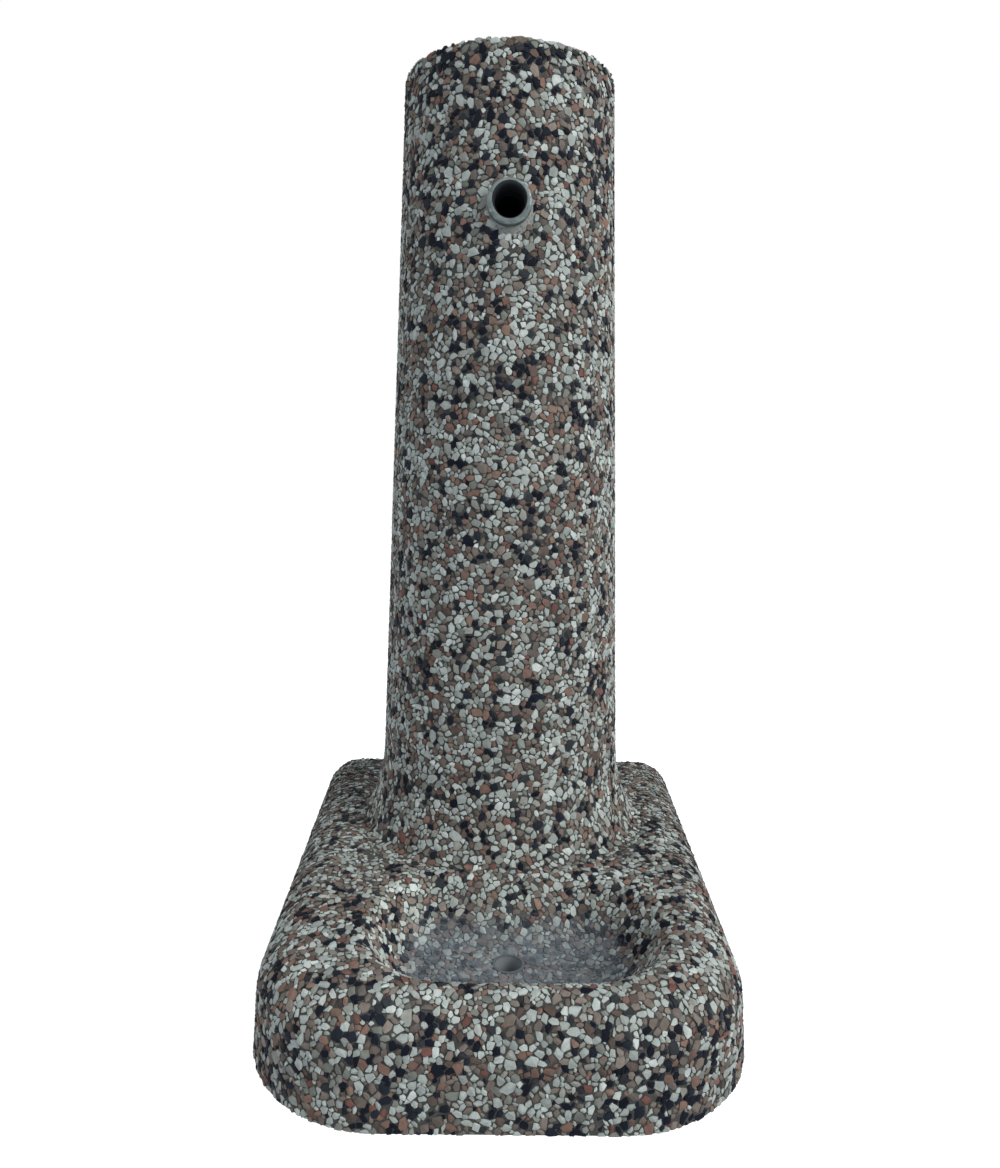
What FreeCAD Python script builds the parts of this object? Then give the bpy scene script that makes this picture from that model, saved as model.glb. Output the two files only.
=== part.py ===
"""A free-standing garden fountain of washed-gravel concrete.

The origin is on the ground, in the middle of the footprint. +Z is up and the front, with
the basin and the outlet, faces -Y. All sizes are millimetres. A round column with a flared
foot stands at the back of a low base that has a scooped basin in front of it. A water pipe
rises inside the column and ends in a threaded socket near the top. A size called "ahead"
is a distance from the column's axis towards the front.
"""

import FreeCAD, Part
import math
import os
import re
import Sketcher
from FreeCAD import Placement, Rotation, Vector

SIZES = [
    ("overall_height", 750),
    ("base_height", 80),
    ("base_back_width", 398),
    ("base_front_width", 349),
    ("base_behind", 137),
    ("base_ahead", 325),
    ("base_batter", 4),
    ("base_corner_radius", 104),
    ("base_edge_radius", 38),
    ("basin_back_ahead", 141),
    ("basin_front_ahead", 284),
    ("basin_width", 222),
    ("basin_aside", 11),
    ("basin_depth", 45),
    ("basin_corner_radius", 64),
    ("basin_wall_slope", 34),
    ("basin_floor_radius", 32),
    ("basin_lip_radius", 15),
    ("bed_thickness", 3),
    ("bed_inset", 5),
    ("column_top_radius", 92.5),
    ("column_neck_radius", 113),
    ("column_foot_radius", 131),
    ("column_flare_height", 67),
    ("column_flare_radius", 150),
    ("column_top_chamfer", 1.5),
    ("core_radius", 32),
    ("core_top_cover", 60),
    ("outlet_below_top", 127),
    ("socket_outer_radius", 18),
    ("socket_bore_radius", 12.1),
    ("socket_length", 36),
    ("socket_mouth_chamfer", 1.4),
    ("socket_proud", 8),
    ("thread_engagement", 14),
    ("thread_radius", 13.1),
    ("thread_clearance", 0.2),
    ("pipe_wall", 2.6),
    ("elbow_reach", 33),
    ("elbow_corner_radius", 17.5),
    ("elbow_way_radius", 10.5),
    ("grout_thickness", 6),
    ("grout_depth", 30),
    ("grout_smear", 1.2),
    ("inlet_recess", 4),
    ("drain_ahead", 196),
    ("drain_aside", 7),
    ("drain_outer_radius", 12.5),
    ("drain_wall", 1.9),
    ("drain_recess", 4),
    ("fit_clearance", 0.3),
    ("bar_radius", 3),
    ("bar_circle_radius", 64),
    ("bar_cover", 25),
    ("link_wire", 5),
    ("link_cover", 35),
    ("link_spacing", 150),
    ("dowel_radius", 5),
    ("dowel_length", 100),
    ("dowel_circle_radius", 88),
    ("mesh_wire_radius", 2.5),
    ("mesh_height", 16),
    ("mesh_cover", 32),
    ("mesh_long_spacing", 84),
    ("mesh_cross_spacing", 120),
]
FORMULAS = [
    ("axis_y", "(base_ahead - base_behind) / 2"),
    ("base_half_depth", "(base_ahead + base_behind) / 2"),
    ("foot_z", "base_height + bed_thickness"),
    ("neck_z", "foot_z + column_flare_height"),
    ("outlet_z", "overall_height - outlet_below_top"),
    ("taper", "(column_neck_radius - column_top_radius) / (overall_height - neck_z)"),
    ("outlet_ahead", "column_top_radius + taper * outlet_below_top"),
    ("hole_radius", "socket_outer_radius + grout_thickness"),
    ("thread_bore_radius", "thread_radius + thread_clearance"),
    ("basin_floor_z", "base_height - basin_depth"),
    ("link_inside", "bar_circle_radius * cos(45 deg) + bar_radius + fit_clearance"),
    ("mesh_cross_height", "mesh_height + 2 * mesh_wire_radius + fit_clearance"),
    ("mesh_long_reach", "base_half_depth - mesh_cover"),
    ("mesh_cross_reach", "base_front_width / 2 - mesh_cover"),
    ("channel_half", "mesh_wire_radius + fit_clearance"),
]
BAR_COUNT = 4
LINK_COUNT = 4
DOWEL_COUNT = 4
MESH_COUNT = 4
BAR_SIDES = 8

ALONG_Z = Rotation()
ALONG_Y = Rotation(Vector(1, 0, 0), -90)
TOWARDS_FRONT = Rotation(Vector(1, 0, 0), 90)
ALONG_X = Rotation(Vector(0, 1, 0), 90)

doc = FreeCAD.newDocument("garden_fountain")
sheet = doc.addObject("Spreadsheet::Sheet", "sizes")
nodes = []


def fill_sheet():
    """Write every driving size, then the sizes that follow from them, one to a row."""
    row = 0
    for name, value in SIZES:
        row += 1
        sheet.set("A%d" % row, name)
        sheet.set("B%d" % row, str(value))
        sheet.setAlias("B%d" % row, name)
    doc.recompute()
    for name, formula in FORMULAS:
        row += 1
        sheet.set("A%d" % row, name)
        sheet.set("B%d" % row, "=" + formula)
        sheet.setAlias("B%d" % row, name)
        doc.recompute()


def size(name):
    """The present value of a size, as a plain number."""
    return float(sheet.get(name))


def bound(formula):
    """The formula with each size's name written as a reference to the sheet."""
    known = "|".join(sorted((name for name, value in SIZES + FORMULAS), key=len, reverse=True))
    return re.sub(r"\b(%s)\b" % known, r"sizes.\1", formula)


def bind(thing, **formulas):
    """Tie properties of an object to formulas over the sheet's names."""
    for name, formula in formulas.items():
        thing.setExpression(name.replace("__", "."), bound(formula))


def keep(thing, name):
    """Give a sub-part its own label and list it for checking and export."""
    thing.Label = name
    nodes.append(thing)
    return thing


def place(thing, turn, x="0", y="0", z="0"):
    """Turn a primitive, then tie its place to formulas."""
    thing.Placement = Placement(Vector(0, 0, 0), turn)
    bind(thing, Placement__Base__x=x, Placement__Base__y=y, Placement__Base__z=z)
    return thing


def cylinder(name, radius, length, turn=ALONG_Z, x="0", y="0", z="0"):
    """A cylinder that starts at its place and runs along its turned axis."""
    rod = doc.addObject("Part::Cylinder", name)
    bind(rod, Radius=radius, Height=length)
    return place(rod, turn, x, y, z)


def cone(name, low_radius, high_radius, length, turn=ALONG_Z, x="0", y="0", z="0"):
    """A cone from its low radius at its place to its high radius."""
    taper = doc.addObject("Part::Cone", name)
    bind(taper, Radius1=low_radius, Radius2=high_radius, Height=length)
    return place(taper, turn, x, y, z)


def prism(name, radius, length, turn=ALONG_Z, x="0", y="0", z="0"):
    """An eight-sided rod whose corners lie at its radius, from its place along its turned axis."""
    rod = doc.addObject("Part::Prism", name)
    rod.Polygon = BAR_SIDES
    bind(rod, Circumradius=radius, Height=length)
    return place(rod, turn, x, y, z)


def fuse(name, shapes):
    joined = doc.addObject("Part::MultiFuse", name)
    joined.Shapes = shapes
    return joined


def cut(name, base, tool):
    rest = doc.addObject("Part::Cut", name)
    rest.Base = base
    rest.Tool = tool
    return rest


def group(name, shapes):
    """Separate solids of one kind, kept in one node."""
    whole = doc.addObject("Part::Compound", name)
    whole.Links = shapes
    return whole


def origin_plane(body, role):
    return next(one for one in body.Origin.OriginFeatures if one.Role == role)


def sketch_on(body, name, role, height="0"):
    """An empty sketch on one of the body's own origin planes, lifted by a formula."""
    sketch = body.newObject("Sketcher::SketchObject", name)
    sketch.AttachmentSupport = [(origin_plane(body, role), "")]
    sketch.MapMode = "FlatFace"
    if height != "0":
        bind(sketch, AttachmentOffset__Base__z=height)
    return sketch


def dimension(sketch, name, kind, place_on, formula, value):
    """Add a named constraint and tie it to a formula."""
    index = sketch.addConstraint(Sketcher.Constraint(kind, *place_on, value))
    sketch.renameConstraint(index, name)
    sketch.setExpression("Constraints." + name, bound(formula))


def closed_lines(sketch, corners):
    """Straight lines from corner to corner and back to the first."""
    count = len(corners)
    for index, corner in enumerate(corners):
        after = corners[(index + 1) % count]
        sketch.addGeometry(Part.LineSegment(Vector(*corner, 0), Vector(*after, 0)), False)
    for index in range(count):
        sketch.addConstraint(Sketcher.Constraint("Coincident", index, 2, (index + 1) % count, 1))


def circle_sketch(body, name, radius, y):
    """A circle sketch on the ground whose centre lies on the Y axis, at a formula's place."""
    sketch = sketch_on(body, name, "XY_Plane")
    centre = Vector(0, 50, 0)
    sketch.addGeometry(Part.Circle(centre, Vector(0, 0, 1), 10), False)
    dimension(sketch, "radius", "Radius", (0,), radius, 10)
    sketch.addConstraint(Sketcher.Constraint("PointOnObject", 0, 3, -2))
    dimension(sketch, "centre_y", "DistanceY", (-1, 1, 0, 3), y, centre.y)
    doc.recompute()
    return sketch


def edges_where(shape, wanted):
    """The names of the edges whose own box passes a test."""
    return ["Edge%d" % number for number, edge in enumerate(shape.Edges, 1) if wanted(edge.BoundBox)]


def lean_walls(body, name, wanted, level, formula, inwards):
    """Lean the tip's upright faces that pass a test, about the flat face at a given height."""
    doc.recompute()
    tip = body.Tip
    before = tip.Shape.Volume
    faces = list(enumerate(tip.Shape.Faces, 1))
    walls = ["Face%d" % number for number, face in faces if wanted(face.BoundBox)]
    flats = ["Face%d" % number for number, face in faces
             if face.BoundBox.ZLength < 0.01 and abs(face.BoundBox.ZMin - level) < 0.01]
    draft = body.newObject("PartDesign::Draft", name)
    draft.Base = (tip, walls)
    draft.NeutralPlane = (tip, flats[:1])
    bind(draft, Angle=formula)
    doc.recompute()
    if (draft.Shape.Volume < before) != inwards:
        draft.Reversed = True
        doc.recompute()
    assert (draft.Shape.Volume < before) == inwards, name + " leans the wrong way"
    return draft


def round_edges(body, name, kind, wanted, formula):
    """A fillet or chamfer on the tip's edges that pass a test."""
    doc.recompute()
    tip = body.Tip
    before = tip.Shape.Volume
    feature = body.newObject("PartDesign::" + kind, name)
    feature.Base = (tip, edges_where(tip.Shape, wanted))
    bind(feature, **{"Radius" if kind == "Fillet" else "Size": formula})
    doc.recompute()
    assert abs(feature.Shape.Volume - before) > 1, name + " changed nothing"
    return feature


def pocket(body, name, sketch, through, **formulas):
    """Cut a sketch's area upwards out of the body, and check that it took something."""
    before = body.Tip.Shape.Volume
    hollow = body.newObject("PartDesign::Pocket", name)
    hollow.Profile = sketch
    if through:
        hollow.Type = "ThroughAll"
        hollow.Reversed = True
    bind(hollow, **formulas)
    doc.recompute()
    assert hollow.Shape.Volume < before - 1, name + " cut nothing"
    return hollow


def base_outline(body):
    """The base's plan at the ground: a rectangle that narrows a little towards the front."""
    sketch = sketch_on(body, "base_plan", "XY_Plane")
    deep = size("base_half_depth")
    back = size("base_back_width") / 2
    front = size("base_front_width") / 2
    closed_lines(sketch, [(-back, deep), (back, deep), (front, -deep), (-front, -deep)])
    sketch.addConstraint(Sketcher.Constraint("Symmetric", 0, 1, 0, 2, -2))
    sketch.addConstraint(Sketcher.Constraint("Symmetric", 2, 1, 2, 2, -2))
    dimension(sketch, "back_width", "DistanceX", (0, 1, 0, 2), "base_back_width", 2 * back)
    dimension(sketch, "front_width", "DistanceX", (2, 2, 2, 1), "base_front_width", 2 * front)
    dimension(sketch, "to_front", "DistanceY", (2, 1, -1, 1), "base_half_depth", deep)
    dimension(sketch, "to_back", "DistanceY", (-1, 1, 0, 1), "base_half_depth", deep)
    doc.recompute()
    return sketch


def basin_outline(body):
    """The basin's mouth on top of the base: a rectangle with large round corners, a little aside."""
    sketch = sketch_on(body, "basin_mouth", "XY_Plane", "base_height")
    aside = size("basin_aside")
    half = size("basin_width") / 2
    back = size("axis_y") - size("basin_back_ahead")
    front = size("axis_y") - size("basin_front_ahead")
    turn = size("basin_corner_radius")
    up = Vector(0, 0, 1)
    corners = [(half - turn, back - turn, 0), (turn - half, back - turn, 90),
               (turn - half, front + turn, 180), (half - turn, front + turn, 270)]
    for x, y, start in corners:
        circle = Part.Circle(Vector(aside + x, y, 0), up, turn)
        sketch.addGeometry(Part.ArcOfCircle(circle, math.radians(start), math.radians(start + 90)), False)
    for index in range(4):
        after = (index + 1) % 4
        end = sketch.getPoint(index, 2)
        start = sketch.getPoint(after, 1)
        sketch.addGeometry(Part.LineSegment(end, start), False)
        sketch.addConstraint(Sketcher.Constraint("Tangent", index, 2, 4 + index, 1))
        sketch.addConstraint(Sketcher.Constraint("Tangent", 4 + index, 2, after, 1))
    sketch.addConstraint(Sketcher.Constraint("Horizontal", 6))
    for line in (5, 7):
        sketch.addConstraint(Sketcher.Constraint("Vertical", line))
    for arc in (1, 2, 3):
        sketch.addConstraint(Sketcher.Constraint("Equal", 0, arc))
    dimension(sketch, "aside", "DistanceX", (-1, 1, 4, 1),
              "basin_aside + basin_width / 2 - basin_corner_radius", aside + half - turn)
    dimension(sketch, "corner", "Radius", (0,), "basin_corner_radius", turn)
    dimension(sketch, "straight", "DistanceX", (4, 2, 4, 1), "basin_width - 2 * basin_corner_radius",
              2 * (half - turn))
    dimension(sketch, "length", "DistanceY", (6, 1, 4, 1), "basin_front_ahead - basin_back_ahead",
              back - front)
    dimension(sketch, "to_front", "DistanceY", (6, 1, -1, 1), "basin_front_ahead - axis_y", -front)
    doc.recompute()
    return sketch


def base_casting():
    """The base: battered walls, rounded edges, the basin, and the holes for pipe and drain."""
    body = doc.addObject("PartDesign::Body", "base_body")
    top = size("base_height")
    floor = size("basin_floor_z")
    deep = size("base_half_depth")
    block = body.newObject("PartDesign::Pad", "base_block")
    block.Profile = base_outline(body)
    bind(block, Length="base_height")
    round_edges(body, "base_corners", "Fillet",
                lambda box: box.ZLength > top / 2 and box.YMax < 0, "base_corner_radius")
    lean_walls(body, "base_batter_faces", lambda box: box.ZLength > top / 2 and box.YMin < deep - 1,
               0, "base_batter", True)
    round_edges(body, "base_top_edge", "Fillet",
                lambda box: box.ZMin > top - 1 and box.YMin < deep - 1, "base_edge_radius")
    pocket(body, "basin", basin_outline(body), False, Length="basin_depth")
    left = size("basin_aside") - size("basin_width") / 2
    right = size("basin_aside") + size("basin_width") / 2
    front = size("axis_y") - size("basin_front_ahead")

    def in_basin(box):
        return box.XMax < right + 1 and box.XMin > left - 1 and box.YMin > front - 1 and box.YMax < deep - 1

    lean_walls(body, "basin_walls", lambda box: in_basin(box) and box.ZMin > 1 and box.ZLength > 1,
               top, "basin_wall_slope", False)
    round_edges(body, "basin_floor_round", "Fillet",
                lambda box: abs(box.ZMax - floor) < 1 and box.ZLength < 1, "basin_floor_radius")
    round_edges(body, "basin_lip", "Fillet", lambda box: in_basin(box) and box.ZMin > top - 1,
                "basin_lip_radius")
    pocket(body, "pipe_hole", circle_sketch(body, "pipe_circle", "hole_radius", "axis_y"), True)
    drain = sketch_on(body, "drain_circle", "XY_Plane")
    drain.addGeometry(Part.Circle(Vector(5, -50, 0), Vector(0, 0, 1), 10), False)
    dimension(drain, "centre_x", "DistanceX", (-1, 1, 0, 3), "drain_aside", 5)
    dimension(drain, "radius", "Radius", (0,), "drain_outer_radius + fit_clearance", 10)
    dimension(drain, "centre_y", "DistanceY", (0, 3, -1, 1), "drain_ahead - axis_y", 50)
    doc.recompute()
    pocket(body, "drain_hole", drain, True)
    return body


def column_profile(body):
    """Half of the column's side view: flat foot, flared arc, taper, chamfer and top."""
    sketch = sketch_on(body, "column_profile", "XZ_Plane")
    height = size("overall_height")
    bevel = size("column_top_chamfer")
    foot = Vector(size("column_foot_radius"), size("foot_z"), 0)
    neck = Vector(size("column_neck_radius"), size("neck_z"), 0)
    rim = Vector(size("column_top_radius"), height - bevel, 0)
    edge = Vector(rim.x - bevel, height, 0)
    on_axis = [Vector(0, height, 0), Vector(0, foot.y, 0)]
    outline = [neck, rim, edge] + on_axis + [foot]
    for start, end in zip(outline, outline[1:]):
        sketch.addGeometry(Part.LineSegment(start, end), False)
    sketch.addGeometry(flare_arc(foot, neck, size("column_flare_radius")), False)
    for line in range(4):
        sketch.addConstraint(Sketcher.Constraint("Coincident", line, 2, line + 1, 1))
    sketch.addConstraint(Sketcher.Constraint("Coincident", 4, 2, 5, 2))
    sketch.addConstraint(Sketcher.Constraint("Coincident", 5, 1, 0, 1))
    sketch.addConstraint(Sketcher.Constraint("Horizontal", 2))
    sketch.addConstraint(Sketcher.Constraint("Horizontal", 4))
    sketch.addConstraint(Sketcher.Constraint("PointOnObject", 2, 2, -2))
    sketch.addConstraint(Sketcher.Constraint("PointOnObject", 3, 2, -2))
    dimension(sketch, "neck_radius", "DistanceX", (-1, 1, 0, 1), "column_neck_radius", neck.x)
    dimension(sketch, "neck_height", "DistanceY", (-1, 1, 0, 1), "neck_z", neck.y)
    dimension(sketch, "rim_radius", "DistanceX", (-1, 1, 1, 1), "column_top_radius", rim.x)
    dimension(sketch, "bevel_in", "DistanceX", (1, 2, 1, 1), "column_top_chamfer", bevel)
    dimension(sketch, "bevel_up", "DistanceY", (1, 1, 1, 2), "column_top_chamfer", bevel)
    dimension(sketch, "top_height", "DistanceY", (-1, 1, 1, 2), "overall_height", height)
    dimension(sketch, "foot_radius", "DistanceX", (-1, 1, 4, 2), "column_foot_radius", foot.x)
    dimension(sketch, "foot_height", "DistanceY", (-1, 1, 4, 2), "foot_z", foot.y)
    dimension(sketch, "flare", "Radius", (5,), "column_flare_radius", size("column_flare_radius"))
    doc.recompute()
    return sketch


def flare_arc(foot, neck, radius):
    """The hollow arc from the foot up to the neck, whose centre lies outside the column."""
    along = neck - foot
    rise = math.sqrt(radius ** 2 - (along.Length / 2) ** 2)
    centre = (foot + neck) * 0.5 + Vector(along.y, -along.x, 0).normalize() * rise
    from_neck = math.atan2(neck.y - centre.y, neck.x - centre.x)
    from_foot = math.atan2(foot.y - centre.y, foot.x - centre.x)
    turn = (from_foot - from_neck) % (2 * math.pi)
    return Part.ArcOfCircle(Part.Circle(centre, Vector(0, 0, 1), radius), from_neck, from_neck + turn)


def column_casting():
    """The column, turned about its own axis, with its hollow core and the outlet's hole."""
    body = doc.addObject("PartDesign::Body", "column_body")
    turned = body.newObject("PartDesign::Revolution", "column_turned")
    turned.Profile = column_profile(body)
    turned.ReferenceAxis = (turned.Profile[0], ["V_Axis"])
    turned.Angle = 360
    doc.recompute()
    bind(body, Placement__Base__y="axis_y")
    core_length = "overall_height - core_top_cover - foot_z"
    core = cylinder("core", "core_radius", core_length, y="axis_y", z="foot_z")
    mouth = cylinder("outlet_hole", "hole_radius", "outlet_ahead + hole_radius", TOWARDS_FRONT,
                     y="axis_y", z="outlet_z")
    return cut("column_hollow", body, fuse("column_holes", [core, mouth]))


def around(count, index, circle_radius, start_turn):
    """Formulas for the place of one of several pieces on a circle about the column's axis."""
    turn = start_turn + 360 / count * index
    x = "%s * cos(%g deg)" % (circle_radius, turn)
    y = "axis_y + %s * sin(%g deg)" % (circle_radius, turn)
    return x, y


def column_bars(name, more):
    """Upright bars in the column; more is the clearance added for the channels they lie in."""
    bars = []
    for index in range(BAR_COUNT):
        x, y = around(BAR_COUNT, index, "bar_circle_radius", 45)
        length = "overall_height - foot_z - 2 * bar_cover + 2 * " + more
        bars.append(prism("%s_%d" % (name, index), "bar_radius + " + more, length, ALONG_Z, x, y,
                          "foot_z + bar_cover - " + more))
    return bars


def square_block(name, half_width, height, low):
    """A block about the column's axis, square from above."""
    block = doc.addObject("Part::Box", name)
    bind(block, Length="2 * (%s)" % half_width, Width="2 * (%s)" % half_width, Height=height)
    return place(block, ALONG_Z, "0 - (%s)" % half_width, "axis_y - (%s)" % half_width, low)


def column_links(name, more):
    """Square links bent round the upright bars, evenly spaced from the foot upwards."""
    links = []
    for index in range(LINK_COUNT):
        low = "foot_z + link_cover + link_spacing * %d - %s" % (index, more)
        height = "link_wire + 2 * " + more
        label = "%s_%d" % (name, index)
        outside = square_block(label + "_outside", "link_inside + link_wire + " + more, height, low)
        inside = square_block(label + "_inside", "link_inside - " + more, height, low)
        links.append(cut(label, outside, inside))
    return links


def dowels(name, more):
    """Short bars that pin the column to the base, half in each."""
    bars = []
    for index in range(DOWEL_COUNT):
        x, y = around(DOWEL_COUNT, index, "dowel_circle_radius", 0)
        low = "base_height + bed_thickness / 2 - dowel_length / 2 - " + more
        bars.append(prism("%s_%d" % (name, index), "dowel_radius + " + more,
                          "dowel_length + 2 * " + more, ALONG_Z, x, y, low))
    return bars


def mesh_offset(spacing, index):
    """How far one of a layer's wires lies from the middle."""
    return "%s * %g" % (spacing, index - (MESH_COUNT - 1) / 2)


def long_wires(name):
    """The mesh's lower layer, from back to front."""
    return [prism("%s_%d" % (name, index), "mesh_wire_radius", "2 * mesh_long_reach", ALONG_Y,
                  mesh_offset("mesh_long_spacing", index), "0 - mesh_long_reach", "mesh_height")
            for index in range(MESH_COUNT)]


def cross_wires(name):
    """The mesh's upper layer, from side to side."""
    return [prism("%s_%d" % (name, index), "mesh_wire_radius", "2 * mesh_cross_reach", ALONG_X,
                  "0 - mesh_cross_reach", mesh_offset("mesh_cross_spacing", index), "mesh_cross_height")
            for index in range(MESH_COUNT)]


def square_channel(name, half_x, half_y, x, y, z):
    """A straight channel in the concrete for one wire, about its middle."""
    channel = doc.addObject("Part::Box", name)
    bind(channel, Length="2 * (%s)" % half_x, Width="2 * (%s)" % half_y, Height="2 * channel_half")
    return place(channel, ALONG_Z, "%s - (%s)" % (x, half_x), "%s - (%s)" % (y, half_y),
                 "%s - channel_half" % z)


def mesh_channels():
    """A square channel for each wire of both layers."""
    channels = []
    for index in range(MESH_COUNT):
        channels.append(square_channel("long_channel_%d" % index, "channel_half",
                                       "mesh_long_reach + fit_clearance",
                                       mesh_offset("mesh_long_spacing", index), "0", "mesh_height"))
        channels.append(square_channel("cross_channel_%d" % index, "mesh_cross_reach + fit_clearance",
                                       "channel_half", "0", mesh_offset("mesh_cross_spacing", index),
                                       "mesh_cross_height"))
    return channels


def further(turn, y, z, start):
    """Formulas for a place that lies a given way along a turned axis."""
    way = turn.multVec(Vector(0, 0, 1))
    return {"y": "%s + %d * (%s)" % (y, round(way.y), start),
            "z": "%s + %d * (%s)" % (z, round(way.z), start)}


def threaded_pipe(name, length, turn, y, z):
    """A pipe of the thread's size, from its place along its axis."""
    outside = cylinder(name + "_outside", "thread_radius", length, turn, y=y, z=z)
    bore = cylinder(name + "_bore", "thread_radius - pipe_wall", length, turn, y=y, z=z)
    return cut(name, outside, bore)


def socket(name, turn, y, z):
    """A threaded socket: its mouth at its place, and its far end bored to take a pipe."""
    outside = cylinder(name + "_outside", "socket_outer_radius", "socket_length", turn, y=y, z=z)
    bore = cylinder(name + "_bore", "socket_bore_radius", "socket_length", turn, y=y, z=z)
    mouth = cone(name + "_mouth", "socket_bore_radius + socket_mouth_chamfer", "socket_bore_radius",
                 "socket_mouth_chamfer", turn, y=y, z=z)
    seat_start = "socket_length - thread_engagement - fit_clearance"
    seat = cylinder(name + "_seat", "thread_bore_radius", "thread_engagement + fit_clearance", turn,
                    **further(turn, y, z, seat_start))
    return cut(name, outside, fuse(name + "_inside", [bore, mouth, seat]))


def elbow(name):
    """A cast elbow: eight-sided legs and waterways, with a thread seat bored in each end."""
    low_z = "outlet_z - elbow_reach"
    face_y = "axis_y - elbow_reach"
    whole = "elbow_reach + elbow_corner_radius"
    cored = "elbow_reach + elbow_way_radius"
    seat = "thread_engagement + fit_clearance"
    outside = fuse(name + "_outside", [
        prism(name + "_leg_low", "elbow_corner_radius", whole, y="axis_y", z=low_z),
        prism(name + "_leg_out", "elbow_corner_radius", whole, ALONG_Y, y=face_y, z="outlet_z"),
    ])
    inside = fuse(name + "_inside", [
        prism(name + "_way_low", "elbow_way_radius", cored, y="axis_y", z=low_z),
        prism(name + "_way_out", "elbow_way_radius", cored, ALONG_Y, y=face_y, z="outlet_z"),
        cylinder(name + "_seat_low", "thread_bore_radius", seat, y="axis_y", z=low_z),
        cylinder(name + "_seat_out", "thread_bore_radius", seat, ALONG_Y, y=face_y, z="outlet_z"),
    ])
    return cut(name, outside, inside)


def outlet_grout(name):
    """The mortar that holds the outlet's socket, rubbed off to follow the column's round."""
    start = "axis_y - outlet_ahead + grout_depth"
    run = "grout_depth + hole_radius"
    ring = cut(name + "_ring",
               cylinder(name + "_plug", "hole_radius - fit_clearance", run, TOWARDS_FRONT, y=start,
                        z="outlet_z"),
               cylinder(name + "_hole", "socket_outer_radius + fit_clearance", run, TOWARDS_FRONT, y=start,
                        z="outlet_z"))
    face = cylinder(name + "_face", "outlet_ahead + grout_smear", "4 * hole_radius", y="axis_y",
                    z="outlet_z - 2 * hole_radius")
    rubbed = doc.addObject("Part::Common", name)
    rubbed.Base = ring
    rubbed.Tool = face
    return rubbed


def tube(name, outer, inner, length, x, y, z):
    """A plain upright tube."""
    return cut(name, cylinder(name + "_outside", outer, length, x=x, y=y, z=z),
               cylinder(name + "_inside", inner, length, x=x, y=y, z=z))


def bedding(name):
    """The thin mortar bed between base and column, with holes for the core and the dowels."""
    disc = cylinder(name + "_disc", "column_foot_radius - bed_inset", "bed_thickness", y="axis_y",
                    z="base_height")
    core = cylinder(name + "_core", "core_radius", "bed_thickness", y="axis_y", z="base_height")
    return cut(name, disc, fuse(name + "_holes", [core] + dowels(name + "_dowel_hole", "fit_clearance")))


def build():
    """Make every sub-part and list it."""
    column_voids = (column_bars("bar_channel", "fit_clearance")
                    + column_links("link_channel", "fit_clearance")
                    + dowels("column_dowel_hole", "fit_clearance"))
    base_voids = mesh_channels() + dowels("base_dowel_hole", "fit_clearance")
    keep(cut("column_node", column_casting(), fuse("column_voids", column_voids)), "column")
    keep(cut("base_node", base_casting(), fuse("base_voids", base_voids)), "basin_base")
    keep(bedding("bedding"), "bedding_mortar")
    keep(group("dowel_group", dowels("dowel", "0")), "dowel_bars")
    keep(group("bar_group", column_bars("bar", "0")), "column_bars")
    keep(group("link_group", column_links("link", "0")), "column_links")
    keep(group("long_group", long_wires("long_wire")), "mesh_long_bars")
    keep(group("cross_group", cross_wires("cross_wire")), "mesh_cross_bars")
    riser_low = "inlet_recess + socket_length - thread_engagement"
    riser_length = "outlet_z - elbow_reach + 2 * thread_engagement - inlet_recess - socket_length"
    keep(threaded_pipe("riser", riser_length, ALONG_Z, "axis_y", riser_low), "riser_pipe")
    keep(elbow("elbow"), "top_elbow")
    nipple_length = "outlet_ahead + socket_proud - socket_length - elbow_reach + 2 * thread_engagement"
    keep(threaded_pipe("nipple", nipple_length, TOWARDS_FRONT,
                       "axis_y - elbow_reach + thread_engagement", "outlet_z"), "outlet_nipple")
    keep(socket("outlet", ALONG_Y, "axis_y - outlet_ahead - socket_proud", "outlet_z"), "outlet_socket")
    keep(outlet_grout("outlet_grout"), "outlet_mortar")
    keep(socket("inlet", ALONG_Z, "axis_y", "inlet_recess"), "inlet_socket")
    keep(tube("inlet_grout", "hole_radius - fit_clearance", "socket_outer_radius + fit_clearance",
              "grout_depth", "0", "axis_y", "inlet_recess"), "inlet_mortar")
    keep(tube("drain", "drain_outer_radius", "drain_outer_radius - drain_wall",
              "basin_floor_z - drain_recess", "drain_aside", "axis_y - drain_ahead", "drain_recess"),
         "drain_tube")


def check_and_export():
    """Stop on any failed object or bad shape, then write one file for each sub-part."""
    doc.recompute()
    for thing in doc.Objects:
        faults = [state for state in thing.State if state in ("Invalid", "Error")]
        assert not faults, "%s is %s" % (thing.Name, faults)
    os.makedirs("parts", exist_ok=True)
    for thing in nodes:
        shape = thing.Shape
        assert not shape.isNull() and shape.isValid(), thing.Label + " has a bad shape"
        assert shape.Volume > 0, thing.Label + " is empty"
        shape.exportStep("parts/%s.step" % thing.Label)
        box = shape.BoundBox
        print("%-18s solids %2d volume %10.0f  x %7.1f %7.1f  y %7.1f %7.1f  z %6.1f %6.1f" % (
            thing.Label, len(shape.Solids), shape.Volume, box.XMin, box.XMax, box.YMin, box.YMax,
            box.ZMin, box.ZMax))


fill_sheet()
build()
check_and_export()
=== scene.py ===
"""The looks of a free-standing garden fountain of washed-gravel concrete.

Every visible concrete face is a bed of cement that lies a little below the fountain's own
outer faces, with crushed stones set in it whose tops reach those faces. The stones are real
geometry: seeds of several sizes are scattered over the outer faces until the faces are full,
and each stone is the cell between its neighbours, cut back by a narrow joint.
"""

import math
import bmesh
import bpy
import numpy as np
from mathutils import Matrix, Vector, kdtree


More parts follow.
